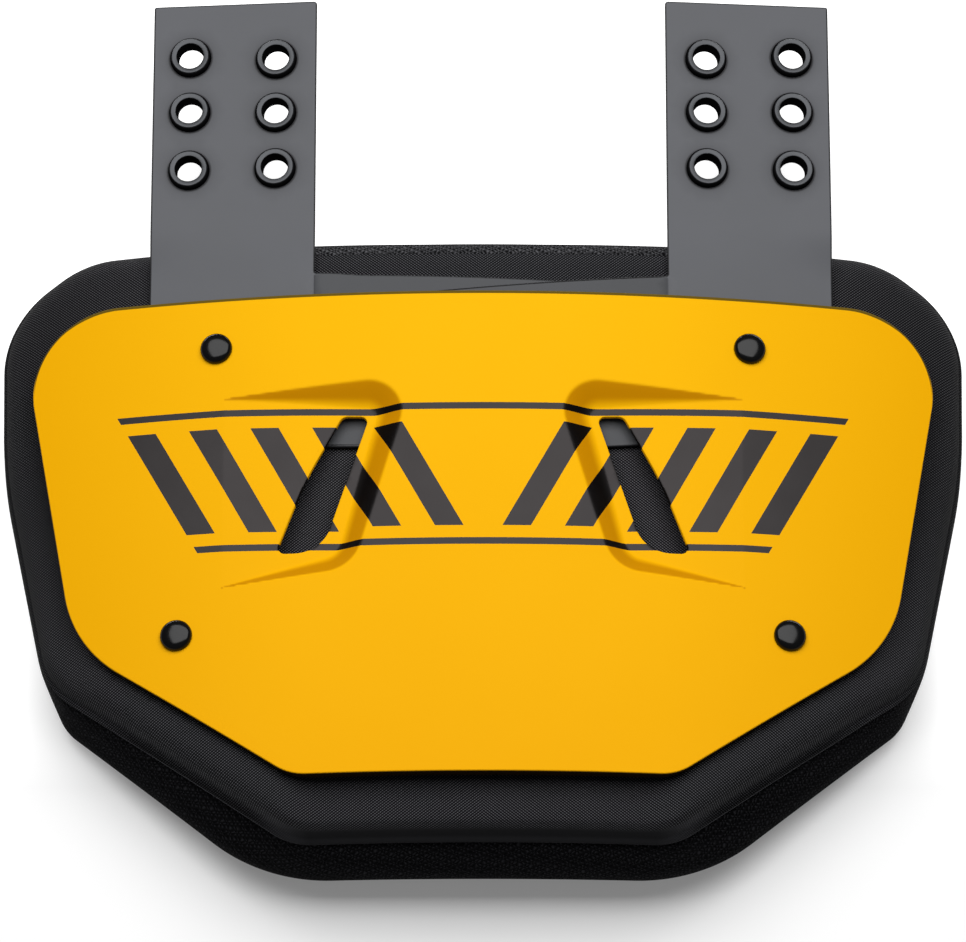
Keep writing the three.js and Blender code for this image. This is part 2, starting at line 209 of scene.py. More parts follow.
def rounded(rows, step):
    """Points and outward normals of a loop with rounded corners, running anticlockwise."""
    rows = list(reversed(rows))
    corners = [np.array(row[:2], float) for row in rows]
    radii = [row[2] for row in rows]
    arcs = []
    for i, (point, radius) in enumerate(zip(corners, radii)):
        before = point - corners[i - 1]
        after = corners[(i + 1) % len(rows)] - point
        before = before / np.linalg.norm(before)
        after = after / np.linalg.norm(after)
        turn = math.atan2(before[0] * after[1] - before[1] * after[0], before @ after)
        side = math.copysign(1, turn)
        start = point - before * radius * math.tan(abs(turn) / 2)
        centre = start + side * radius * np.array((-before[1], before[0]))
        heading = math.atan2(before[1], before[0])
        count = max(3, math.ceil(radius * abs(turn) / step))
        angles = heading + turn * np.linspace(0, 1, count + 1)
        normals = np.column_stack((np.sin(angles), -np.cos(angles)))
        arcs.append((centre + side * radius * normals, normals))
    points, normals = [], []
    for i, (arc, out) in enumerate(arcs):
        points.append(arc)
        normals.append(out)
        end, start = arc[-1], arcs[(i + 1) % len(arcs)][0][0]
        count = math.ceil(np.linalg.norm(start - end) / step)
        shares = np.arange(1, count)[:, None] / count
        points.append(end + (start - end) * shares)
        normals.append(np.repeat(out[-1:], len(shares), 0))
    return np.vstack(points), np.vstack(normals)


def ring_circle(x, y, radius, count):
    angles = np.linspace(0, 2 * math.pi, count, endpoint=False)
    normals = np.column_stack((np.cos(angles), np.sin(angles)))
    return np.array((x, y)) + radius * normals, normals


def inside(points, loop):
    """Which points lie inside a loop."""
    odd = np.zeros(len(points), bool)
    for a, b in zip(loop, np.roll(loop, -1, 0)):
        crosses = (a[1] > points[:, 1]) != (b[1] > points[:, 1])
        with np.errstate(divide="ignore", invalid="ignore"):
            at = a[0] + (points[:, 1] - a[1]) * (b[0] - a[0]) / (b[1] - a[1])
        odd ^= crosses & (points[:, 0] < at)
    return odd


def distance(points, loop):
    """How far each point lies from a loop."""
    nearest = np.full(len(points), 1e9)
    for a, b in zip(loop, np.roll(loop, -1, 0)):
        along = b - a
        share = np.clip((points - a) @ along / max(along @ along, 1e-12), 0, 1)
        nearest = np.minimum(nearest, np.linalg.norm(points - a - share[:, None] * along, axis=1))
    return nearest


def lattice(low, high, spacing):
    """Points of a triangular grid over a box."""
    columns = np.arange(low[0], high[0], spacing)
    rows = []
    for k, y in enumerate(np.arange(low[1], high[1], spacing * math.sqrt(3) / 2)):
        rows.append(np.column_stack((columns + spacing / 2 * (k % 2), np.full(len(columns), y))))
    return np.vstack(rows)


def fill(loops, spacing, fine=None, along=None):
    """Triangles inside the first loop and outside the rest: the loops' points come first, then a lattice."""
    outer = loops[0]
    closest = 0.55 * (fine["spacing"] if fine else spacing)
    extra = lattice(outer.min(0), outer.max(0), spacing)
    if fine:
        extra = extra[~fine["where"](extra)]
        close = lattice(outer.min(0), outer.max(0), fine["spacing"])
        extra = np.vstack((extra, close[fine["where"](close)]))
    keep = inside(extra, outer)
    for loop in loops[1:]:
        keep &= ~inside(extra, loop)
    extra = extra[keep]
    for loop in loops:
        extra = extra[distance(extra, loop) > closest]
    if along is not None:
        apart = np.linalg.norm(extra[:, None] - along[None], axis=2).min(1)
        extra = np.vstack((extra[apart > 1.5], along))
    points = np.vstack([*loops, extra])
    edges, start = [], 0
    for loop in loops:
        edges += [(start + i, start + (i + 1) % len(loop)) for i in range(len(loop))]
        start += len(loop)
    made = delaunay_2d_cdt([Vector(p) for p in points], edges, [], 0, 1e-6)
    source = [ids[0] for ids in made[3]]
    triangles = np.array([[source[i] for i in face] for face in made[2]])
    middle = points[triangles].mean(1)
    keep = inside(middle, outer)
    for loop in loops[1:]:
        keep &= ~inside(middle, loop)
    return points, triangles[keep]


def smooth(value, low, high):
    """0 below low, 1 above high and eased between them."""
    share = np.clip((value - low) / (high - low), 0, 1)
    return share * share * (3 - 2 * share)


def curve_through(rows, steps):
    """A smooth curve through rows of numbers, as more rows."""
    rows = np.array(rows, float)
    padded = np.vstack((2 * rows[0] - rows[1], rows, 2 * rows[-1] - rows[-2]))
    made = []
    for a, b, c, d in zip(padded, padded[1:], padded[2:], padded[3:]):
        square = 2 * a - 5 * b + 4 * c - d
        cube = 3 * b - a - 3 * c + d
        for t in np.arange(steps) / steps:
            made.append(0.5 * (2 * b + (c - a) * t + square * t**2 + cube * t**3))
    return np.array(made + [rows[-1]])


# Surfaces.
def height_at(x, depth):
    return CROWN - BEND + np.sqrt((BEND - depth) ** 2 - x**2)


def on_plate(plan, depth):
    """Points of the plan at a depth below the plate's bent front face."""
    turn = np.arcsin(plan[:, 0] / BEND)
    reach = BEND - depth
    return np.column_stack((reach * np.sin(turn), plan[:, 1], CROWN - BEND + reach * np.cos(turn)))


def dent(x, y):
    """1 under the vents, where the straps' arms and the padding sit lower, and 0 away from them."""
    across = smooth(np.abs(x), 24, 31) - smooth(np.abs(x), 74, 88)
    return across * (1 - smooth(y, 30, 48)) * smooth(y, -58, -44)


def on_pad(plan, drop):
    """Points of the plan at a drop below the padding's front."""
    x, y = plan[:, 0], plan[:, 1]
    return np.column_stack((plan, height_at(x, FABRIC_DEPTH) - drop - PAD["dent"] * dent(x, y)))


def back_height(x):
    return np.maximum(0, PAD["hollow"] - x**2 / (2 * PAD["back_radius"]))


class Shell:
    """Gathers rings and caps of points, in millimetres, with cloth coordinates for the weave."""

    def __init__(self):
        self.points = []
        self.cloth = []
        self.marks = []
        self.faces = []
        self.count = 0

    def add(self, points, cloth=None, mark=0):
        self.points.append(points)
        self.cloth.append(points[:, :2] if cloth is None else cloth)
        self.marks.append(np.zeros((len(points), 2)) + mark)
        start = self.count
        self.count += len(points)
        return np.arange(start, self.count)

    def bridge(self, first, second, closed=True):
        steps = len(first) if closed else len(first) - 1
        for i in range(steps):
            j = (i + 1) % len(first)
            self.faces.append((first[i], first[j], second[j], second[i]))

    def cover(self, ids, triangles):
        self.faces.extend(tuple(ids[k] for k in corners) for corners in triangles)

    def piece(self, name, node, slot, material, sharp=32, wrap=None):
        points = np.vstack(self.points)
        mesh = bpy.data.meshes.new(name)
        mesh.from_pydata((points + DATUM) * MM, [], [tuple(map(int, face)) for face in self.faces])
        made = bmesh.new()
        made.from_mesh(mesh)
        bmesh.ops.recalc_face_normals(made, faces=made.faces)
        made.to_mesh(mesh)
        made.free()
        mesh.polygons.foreach_set("use_smooth", np.ones(len(mesh.polygons), bool))
        mesh.set_sharp_from_angle(angle=math.radians(sharp))
        cloth = np.vstack(self.cloth)
        corner = np.zeros(len(mesh.loops), np.int32)
        mesh.loops.foreach_get("vertex_index", corner)
        flat = cloth[corner]
        if wrap:
            for polygon in mesh.polygons:
                span = slice(polygon.loop_start, polygon.loop_start + polygon.loop_total)
                if np.ptp(flat[span, 0]) > wrap / 2:
                    flat[span, 0] += np.where(flat[span, 0] < wrap / 2, wrap, 0)
        layer = mesh.uv_layers.new(name="cloth")
        layer.data.foreach_set("uv", (flat * MM).astype(np.float32).ravel())
        marks = np.vstack(self.marks)
        if marks.any():
            layer = mesh.uv_layers.new(name="mark")
            layer.data.foreach_set("uv", marks[corner].astype(np.float32).ravel())
        mesh.materials.append(material)
        obj = bpy.data.objects.new(name, mesh)
        bpy.context.scene.collection.objects.link(obj)
        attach(obj, "root")
        if node:
            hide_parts(node)
        return obj


def turned(profile, sides, place, turn):
    """A lathed body: rows of radius and height, closed through the bore or at the axis."""
    shell = Shell()
    rings = []
    angles = np.linspace(0, 2 * math.pi, sides, endpoint=False)
    around = np.column_stack((np.cos(angles), np.sin(angles)))
    spin = np.array(turn.to_matrix())
    for radius, height in profile:
        count = 1 if radius < 1e-6 else sides
        ring = np.column_stack((around[:count] * radius, np.full(count, height)))
        rings.append(shell.add(ring @ spin.T + place, np.tile((radius, height), (count, 1))))
    pairs = list(zip(rings, rings[1:]))
    if profile[0][0] > 1e-6:
        pairs.append((rings[-1], rings[0]))
    for first, second in pairs:
        if len(first) == len(second):
            shell.bridge(first, second)
        else:
            tip, ring = (first, second) if len(first) == 1 else (second, first)
            shell.faces.extend((tip[0], ring[i], ring[(i + 1) % sides]) for i in range(sides))
    return shell


# Materials. Each is a small node tree on flat cloth coordinates or on the part's own coordinates.
class Tree:
    """A material's node tree, with short names for the nodes that are used."""

    def __init__(self, name):
        self.material = bpy.data.materials.new(name)
        self.material.use_nodes = True
        self.nodes = self.material.node_tree.nodes
        self.links = self.material.node_tree.links
        self.shader = self.nodes["Principled BSDF"]

    def node(self, kind, **settings):
        made = self.nodes.new("ShaderNode" + kind)
        for key, value in settings.items():
            setattr(made, key, value)
        return made

    def math(self, operation, a, b=None, c=None):
        made = self.node("Math", operation=operation)
        for i, value in enumerate((a, b, c)):
            if value is None:
                continue
            if isinstance(value, (int, float)):
                made.inputs[i].default_value = value
            else:
                self.links.new(value, made.inputs[i])
        return made.outputs[0]

    def mix(self, share, low, high):
        made = self.node("Mix", data_type="RGBA")
        for socket, value in ((made.inputs[0], share), (made.inputs[6], low), (made.inputs[7], high)):
            if isinstance(value, tuple):
                socket.default_value = (*value, 1)
            else:
                self.links.new(value, socket)
        return made.outputs[2]

    def noise(self, vector, scale, detail):
        made = self.node("TexNoise")
        made.inputs["Scale"].default_value = scale
        made.inputs["Detail"].default_value = detail
        self.links.new(vector, made.inputs["Vector"])
        return made.outputs["Fac"]

    def place(self):
        return self.node("TexCoord").outputs["Object"]

    def cloth(self):
        return self.node("UVMap", uv_map="cloth").outputs["UV"]

    def mark(self):
        return self.split(self.node("UVMap", uv_map="mark").outputs["UV"])

    def split(self, vector):
        made = self.node("SeparateXYZ")
        self.links.new(vector, made.inputs[0])
        return made.outputs[0], made.outputs[1], made.outputs[2]

    def bump(self, height, distance, strength):
        made = self.node("Bump")
        made.inputs["Strength"].default_value = strength
        made.inputs["Distance"].default_value = distance
        self.links.new(height, made.inputs["Height"])
        return made.outputs["Normal"]

    def ramp(self, value, low, high):
        """0 below low, 1 above high and straight between them."""
        share = self.math("MULTIPLY_ADD", value, 1 / (high - low), -low / (high - low))
        return self.math("MINIMUM", self.math("MAXIMUM", share, 0.0), 1.0)

    def finish(self, colour, roughness, normal=None, metallic=None, **fixed):
        """Links the surface's inputs, and sets the fixed ones on the shader itself."""
        sockets = {"Base Color": colour, "Roughness": roughness, "Normal": normal, "Metallic": metallic}
        for socket, value in sockets.items():
            if value is None:
                continue
            if isinstance(value, float):
                self.shader.inputs[socket].default_value = value
            else:
                self.links.new(value, self.shader.inputs[socket])
        for key, value in fixed.items():
            self.shader.inputs[key.replace("_", " ")].default_value = value
        return self.material


def linear(*rgb):
    """A colour in steps of 0 to 255 on screen, as the shader takes it."""
    shares = [value / 255 for value in rgb]
    return tuple(c / 12.92 if c <= 0.04045 else ((c + 0.055) / 1.055) ** 2.4 for c in shares)


def wave(tree, value, pitch):
    """A sine of that pitch, from 0 to 1."""
    swing = tree.math("SINE", tree.math("MULTIPLY", value, 2 * math.pi / pitch))
    return tree.math("MULTIPLY_ADD", swing, 0.5, 0.5)


# Slanted bars that lean out from the middle, in one band between two lines.
BARS = {"middle": -24.0, "half": 19.0, "start": 17.0, "pitch": 21.0, "bar": 9.6, "count": 5, "slant": 0.55}
LINES = {"off": 24.6, "half": 1.2}


def plate_material():
    tree = Tree("plate_yellow")
    place = tree.place()
    x, y, _ = tree.split(place)
    up = tree.math("SUBTRACT", y, BARS["middle"] * MM)
    off = tree.math("ABSOLUTE", up)
    slanted = tree.math("MULTIPLY_ADD", up, -BARS["slant"], tree.math("ABSOLUTE", x))
    along = tree.math("SUBTRACT", slanted, BARS["start"] * MM)
    phase = tree.math("FRACT", tree.math("DIVIDE", along, BARS["pitch"] * MM))
    bars = tree.math("LESS_THAN", phase, BARS["bar"] / BARS["pitch"])
    bars = tree.math("MULTIPLY", bars, tree.math("LESS_THAN", off, BARS["half"] * MM))
    bars = tree.math("MULTIPLY", bars, tree.math("GREATER_THAN", along, 0.0))
    from_line = tree.math("ABSOLUTE", tree.math("SUBTRACT", off, LINES["off"] * MM))
    ink = tree.math("MAXIMUM", bars, tree.math("LESS_THAN", from_line, LINES["half"] * MM))
    reach = ((BARS["count"] - 1) * BARS["pitch"] + BARS["bar"]) * MM
    ink = tree.math("MULTIPLY", ink, tree.math("LESS_THAN", along, reach))
    tone = tree.noise(place, 14.0, 3.0)
    # The yellow is painted a little darker towards the bottom and towards the sides, as painted shade.
    upper = tree.mix(tone, linear(215, 159, 3), linear(219, 163, 7))
    lower = tree.mix(tone, linear(213, 152, 3), linear(217, 156, 7))
    yellow = tree.mix(tree.ramp(y, -0.13, 0.04), lower, upper)
    side = tree.ramp(tree.math("ABSOLUTE", x), 0.06, 0.17)
    yellow = tree.mix(side, yellow, linear(206, 147, 2))
    grey = tree.mix(tone, linear(39, 37, 37), linear(43, 41, 41))
    # The scoops' walls and the cut edge are marked in the cloth coordinates. The walls, and the ink on them,
    # are painted darker as painted shade.
    wall, edge, _ = tree.split(tree.cloth())
    colour = tree.mix(ink, yellow, grey)
    colour = tree.mix(wall, colour, tree.mix(ink, linear(176, 118, 1), linear(24, 22, 23)))
    # The cut edge is painted dark as painted shade, less so along the top.
    cut = tree.mix(tree.ramp(y, 0.0, 0.05), linear(28, 18, 6), linear(94, 76, 18))
    colour = tree.mix(edge, colour, cut)
    grain = tree.noise(place, 2600.0, 2.0)
    swirl = tree.noise(place, 60.0, 2.0)
    rough = tree.math("MULTIPLY_ADD", swirl, 0.08, 0.42)
    # The ink is glossy, so it mirrors the light.
    return tree.finish(
        colour=colour,
        roughness=rough,
        normal=tree.bump(grain, 0.00002, 0.35),
        metallic=ink,
        Specular_IOR_Level=0.015,
    )


def strap_material():
    tree = Tree("strap_grey")
    place = tree.place()
    tone = tree.noise(place, 30.0, 3.0)
    speck = tree.noise(place, 1500.0, 2.0)
    colour = tree.mix(tone, linear(78, 79, 82), linear(86, 87, 91))
    edge, arm_shade, _ = tree.split(tree.cloth())
    # The arms, which lie under the plate, are painted darker, as painted shade.
    colour = tree.mix(arm_shade, colour, tree.mix(tone, linear(63, 64, 66), linear(70, 71, 74)))
    # Cut edges are dark, and the same dark is painted in the fold, round the grommets and along the upper
    # arm's edge, as painted shadow.
    colour = tree.mix(edge, colour, linear(22, 22, 24))
    rough = tree.math("MULTIPLY_ADD", tone, 0.12, 0.44)
    return tree.finish(
        colour=colour,
        roughness=rough,
        normal=tree.bump(speck, 0.00003, 0.4),
        Specular_IOR_Level=0.115,
    )


def grommet_material():
    """Black moulding whose flat top is polished, so that it mirrors the light."""
    tree = Tree("grommet_black")
    place = tree.place()
    tone = tree.noise(place, 90.0, 3.0)
    grain = tree.noise(place, 1800.0, 2.0)
    _, height, _ = tree.split(tree.cloth())
    top = tree.ramp(height, 0.0022, 0.00236)
    black = tree.mix(tone, linear(8, 8, 9), linear(13, 13, 14))
    polished = tree.mix(tone, linear(51, 52, 54), linear(55, 56, 58))
    return tree.finish(
        colour=tree.mix(top, black, polished),
        roughness=tree.math("MULTIPLY_ADD", tone, 0.08, 0.32),
        normal=tree.bump(grain, 0.00002, 0.3),
        metallic=top,
        Specular_IOR_Level=0.0,
    )


def rivet_material():
    tree = Tree("rivet_black")
    place = tree.place()
    tone = tree.noise(place, 90.0, 3.0)
    grain = tree.noise(place, 1800.0, 2.0)
    return tree.finish(
        colour=tree.mix(tone, linear(5, 5, 6), linear(9, 9, 10)),
        roughness=tree.math("MULTIPLY_ADD", tone, 0.06, 0.13),
        normal=tree.bump(grain, 0.00002, 0.2),
        Specular_IOR_Level=0.18,
    )


# The front panel's twill: pitch of its lines in millimetres, their slope, and how far the weaker lines fade.
TWILL = {"pitch": 1.25, "slope": 1.25, "fade": 0.4}


def faded(tree, line, share):
    """A wave whose low parts are raised by a share of the way to 1."""
    return tree.math("MULTIPLY_ADD", tree.math("SUBTRACT", 1.0, line), share, line)


def front_material():
    """Fine twill: light threads in broken diagonal lines over a dark ground."""
    tree = Tree("front_weave")
    u, v, _ = tree.split(tree.cloth())
    x, y, _ = tree.split(tree.place())
    # Lines that fall away from the middle show more low down, and lines that rise from it show more high up.
    v = tree.math("MULTIPLY", v, tree.math("SIGN", x))
    fall = wave(tree, tree.math("MULTIPLY_ADD", v, TWILL["slope"], u), TWILL["pitch"] * MM)
    rise = wave(tree, tree.math("MULTIPLY_ADD", v, -TWILL["slope"], u), TWILL["pitch"] * MM)
    high = tree.ramp(y, -0.03, 0.04)
    fall = faded(tree, fall, tree.math("MULTIPLY", high, TWILL["fade"]))
    rise = faded(tree, rise, tree.math("MULTIPLY_ADD", high, -TWILL["fade"], TWILL["fade"]))
    dots = tree.math("MULTIPLY", fall, rise)
    tone = tree.noise(tree.place(), 45.0, 3.0)
    dark = tree.mix(tone, linear(5, 5, 6), linear(9, 9, 10))
    # The light threads are painted darker at the upper sides, as painted shade.
    aside = tree.math("ABSOLUTE", x)
    side = tree.ramp(aside, 0.11, 0.15)
    side = tree.math("MULTIPLY", side, tree.ramp(y, -0.08, -0.03))
    light = tree.mix(side, linear(87, 87, 91), linear(71, 71, 74))
    # The cloth behind the vents is painted lighter, as painted light against the vents' shade.
    under = tree.math("SUBTRACT", tree.ramp(y, -0.09, -0.07), tree.ramp(y, 0.02, 0.04))
    under = tree.math("MULTIPLY", under, tree.math("SUBTRACT", 1.0, tree.ramp(aside, 0.08, 0.1)))
    light = tree.mix(under, light, linear(98, 97, 101))
    colour = tree.mix(tree.math("POWER", dots, 2.0), dark, light)
    # The hem is plain and is painted lighter along the slanted edges, as painted highlight; the seam above it
    # is painted dark, as painted shade.
    hem, seam_shade, _ = tree.mark()
    hem_and_highlight = tree.mix(tree.ramp(aside, 0.058, 0.08), linear(38, 38, 40), linear(76, 76, 80))
    colour = tree.mix(hem, colour, hem_and_highlight)
    colour = tree.mix(seam_shade, colour, (0.0, 0.0, 0.0))
    height = tree.math("MULTIPLY", dots, tree.math("SUBTRACT", 1.0, hem))
    return tree.finish(
        colour=colour,
        roughness=0.85,
        normal=tree.bump(height, 0.0003, 0.7),
        Sheen_Weight=0.02,
        Sheen_Roughness=0.5,
        Specular_IOR_Level=0.03,
    )


# The knit's lumps wander: rows of shift along u and v, and the wave's u and v lengths, in millimetres.
WANDER = [(0.3, 0.22, 7.9, 5.3), (-0.2, 0.26, 4.7, -6.1), (0.16, -0.2, -11.3, 3.4)]
KNOT = 1.6
KNOT_SLOPE = 1.732
THREAD = 0.6
# The knit band along the pad's top: how much finer it is, its width, its lumps' height and its ends.
BAND_FINE = 1.3
BAND_WIDE = 3.9
BAND_LUMP = 0.3
BAND_ENDS = (-74, 80)


def mesh_material(name, light, peak, fine, edge=None):
    """Knitted mesh: rounded knots in offset rows with small pits between them, dark past the edge."""
    tree = Tree(name)
    u, v, _ = tree.split(tree.cloth())
    far = v
    u, v = tree.math("MULTIPLY", u, fine), tree.math("MULTIPLY", v, fine)
    flat = (u, v)
    for along, across, long_u, long_v in WANDER:
        share = tree.math("DIVIDE", flat[1], long_v * MM)
        share = tree.math("ADD", share, tree.math("DIVIDE", flat[0], long_u * MM))
        swing = tree.math("SINE", tree.math("MULTIPLY", share, 2 * math.pi))
        u = tree.math("MULTIPLY_ADD", swing, along * MM, u)
        v = tree.math("MULTIPLY_ADD", swing, across * MM, v)
    level = wave(tree, u, KNOT * MM)
    rise = wave(tree, tree.math("MULTIPLY_ADD", v, KNOT_SLOPE, u), 2 * KNOT * MM)
    fall = wave(tree, tree.math("MULTIPLY_ADD", v, -KNOT_SLOPE, u), 2 * KNOT * MM)
    knots = tree.math("MULTIPLY", tree.math("ADD", tree.math("ADD", level, rise), fall), 1 / 3)
    threads = wave(tree, tree.math("ADD", u, v), THREAD * MM)
    height = tree.math("MULTIPLY_ADD", threads, 0.1, knots)
    colour = tree.mix(tree.math("POWER", knots, peak), linear(2, 2, 3), light)
    if edge:
        colour = tree.mix(tree.ramp(far, edge * MM, (edge + 0.5) * MM), colour, linear(22, 22, 24))
    return tree.finish(
        colour=colour,
        roughness=0.8,
        normal=tree.bump(height, 0.0007 / fine, 0.9),
        Specular_IOR_Level=0.02,
    )


def knots(u, v):
    """The same lumps as the mesh's material, from 0 to 1, for u and v in millimetres."""
    flat = (u, v)
    for along, across, long_u, long_v in WANDER:
        swing = np.sin(2 * math.pi * (flat[1] / long_v + flat[0] / long_u))
        u, v = u + swing * along, v + swing * across
    turns = (u / KNOT, (u + KNOT_SLOPE * v) / (2 * KNOT), (u - KNOT_SLOPE * v) / (2 * KNOT))
    return sum(0.5 + 0.5 * np.sin(2 * math.pi * turn) for turn in turns) / 3


PLATE_FINISH = plate_material()
STRAP_FINISH = strap_material()
GROMMET_FINISH = grommet_material()
RIVET_FINISH = rivet_material()
FRONT_FINISH = front_material()
# The pad's body and the top band are the same knit; the body's copy is painted darker, as painted shade.
SHADED_MESH_FINISH = mesh_material("knit_mesh_shaded", linear(44, 44, 47), 4.0, 1.25)
BAND_FINISH = mesh_material("knit_band", linear(82, 82, 85), 1.9, BAND_FINE, edge=BAND_WIDE)


# The face plate.
def eased(share):
    """A straight slope from 0 to 1 with its two ends rounded."""
    share = np.clip(share, 0, 1)
    return 0.75 * share + 0.25 * share * share * (3 - 2 * share)


def scoop(plan):
    """How deep the vents' scoops go below the front face, and 1 on their walls, for each point."""
    depth, wall = np.zeros(len(plan)), np.zeros(len(plan))
    loop, _ = rounded(RECESS_RIGHT, 1.5)
    run = SCOOP["flush_at"] - SCOOP["deep_at"]
    for sign in (-1, 1):
        local = plan * (sign, 1)
        floor = SCOOP["depth"] * np.clip((SCOOP["flush_at"] - local[:, 0]) / run, 0, 1)
        near = inside(local, loop)
        reach = np.zeros(len(plan))
        reach[near] = distance(local[near], loop)
        share = reach / (SCOOP["wall_run"] * floor + 0.5)
        depth = np.maximum(depth, floor * eased(share))
        wall = np.maximum(wall, smooth(share, 0, 0.12) * (1 - smooth(share, 0.55, 1)) * (floor > 0))
    return depth, wall


def near_scoop(plan):
    """Which points lie near a scoop's outline."""
    loop, _ = rounded(RECESS_RIGHT, 1.5)
    close = np.zeros(len(plan), bool)
    for sign in (-1, 1):
        local = plan * (sign, 1)
        box = (local[:, 0] > 18) & (local[:, 0] < 92) & (np.abs(local[:, 1] + 7) < 46)
        reach = np.full(len(plan), 99.0)
        reach[box] = distance(local[box], loop)
        close |= (reach < 9.5) & box
    return close


def face_plate():
    shell = Shell()
    outline, out = rounded(mirrored(PLATE_HALF), 1.5)
    slots = [rounded(SLOT_RIGHT, 0.9), rounded(flipped(SLOT_RIGHT), 0.9)]

    def add(plan, depth, wall=0, edge=0):
        """The cloth coordinates, in metres, are 1 on the scoops' walls and 1 on the plate's cut edge."""
        marks = np.column_stack((wall * np.ones(len(plan)), edge * np.ones(len(plan))))
        return shell.add(on_plate(plan, depth), 1000.0 * marks)

    # Front, with the slots' lips rounded over.
    loops = [outline - 1.6 * out] + [loop + 0.5 * normal for loop, normal in slots]
    plan, triangles = fill(loops, 1.5, {"where": near_scoop, "spacing": 0.6})
    front = add(plan, *scoop(plan))
    shell.cover(front, triangles)
    starts = np.cumsum([0] + [len(loop) for loop in loops])
    edges = [front[a:b] for a, b in zip(starts, starts[1:])]
    # Back, coarse, behind the scoops' floors.
    back_loops = [outline - 7.5 * out] + [loop for loop, _ in slots]
    back_plan, back_triangles = fill(back_loops, 5, {"where": near_scoop, "spacing": 1.6})
    back = add(back_plan, np.maximum(PLATE["wall"], scoop(back_plan)[0] + SCOOP["floor_wall"]))
    shell.cover(back, back_triangles)
    back_edges = [back[a:b] for a, b in zip(starts, starts[1:])]
    # Rim, from the front round to the back.
    last = edges[0]
    # Along the top a painted shade line comes on to the front, and it thins out round the corners.
    far = smooth(out[:, 1], -0.1, 0.3)
    wide = PLATE["edge"] + PLATE["line"] * smooth(out[:, 1:], 0.7, 0.98)
    for inset, line in ((wide + 0.2, 0), (wide, far), (PLATE["edge"], far)):
        ring = add(outline - inset * out, 0, edge=line)
        shell.bridge(last, ring)
        last = ring
    for degrees, line in zip(range(15, 91, 15), (0, 0.2, 0.5, 0.8, 1, 1)):
        turn = math.radians(degrees)
        inset = PLATE["edge"] * (1 - math.sin(turn))
        depth = PLATE["edge"] * (1 - math.cos(turn))
        ring = add(outline - inset * out, depth, edge=np.maximum(far, line))
        shell.bridge(last, ring)
        last = ring
    rim = PLATE["rim"] - PLATE["rim_cut"] * slanted_part(outline[:, 0], outline[:, 1])
    for inset, up in RIM_LIP:
        ring = add(outline - inset * out, rim - up, edge=1)
        shell.bridge(last, ring)
        last = ring
    for inset, depth in ((2.8, 4.0), (4.5, 3.3)):
        ring = add(outline - inset * out, np.minimum(depth, rim - 0.3))
        shell.bridge(last, ring)
        last = ring
    shell.bridge(last, back_edges[0])
    # Slot walls.
    for (loop, normal), edge, back_edge in zip(slots, edges[1:], back_edges[1:]):
        last = edge
        for move, down in ((0.15, 0.15), (0, 0.5)):
            place = loop + move * normal
            ring = add(place, scoop(place)[0] + down)
            shell.bridge(last, ring)
            last = ring
        shell.bridge(last, back_edge)
    shell.piece("plate_shell", "face_plate", "plate", PLATE_FINISH, sharp=40)


# The straps.
def tab_middle(side):
    return side["sign"] * TAB["middle"] + TAB["shift"]


def tab_inner(side):
    return tab_middle(side) - side["sign"] * TAB["inner"]


def arm_top(side, x):
    return side["arm_top"] - side["arm_fall"] * side["sign"] * (tab_inner(side) - x)


def tab_height(side, x, y):
    start = height_at(TAB["middle"], STRAP_DEPTH)
    roll = TAB_SLOPES["roll"] * side["sign"] * (tab_middle(side) - x)
    rise = TAB_SLOPES["rise"] * (y - STRAP["tucked_to"])
    curl = TAB_SLOPES["curl"] * np.maximum(y - TAB["curl_from"], 0)
    return start + roll + rise + curl


def strap_height(side, x, y):
    lap = LAP["depth"] * smooth(-side["sign"] * x, -LAP["start"], -LAP["end"]) if side["under"] else 0
    tucked = height_at(x, STRAP_DEPTH + np.maximum(lap, STRAP["dip"] * dent(x, y)))
    return tucked + (tab_height(side, x, y) - tucked) * smooth(y, STRAP["tucked_to"], STRAP["flat_from"])


def strap_rows(side):
    sign = side["sign"]
    inner = tab_inner(side)
    outer = tab_middle(side) + sign * TAB["outer"]
    end = -sign * side["arm_past"]
    rows = [
        (inner, TAB["end"], 1.2),
        (outer, TAB["end"], 0.8),
        (outer, arm_top(side, outer) - side["arm_wide"], 4),
        (0, arm_top(side, 0) - side["arm_wide"], 4),
        (end, arm_top(side, end), 2),
        (inner, arm_top(side, inner), 0.5),
    ]
    return rows if sign > 0 else list(reversed(rows))


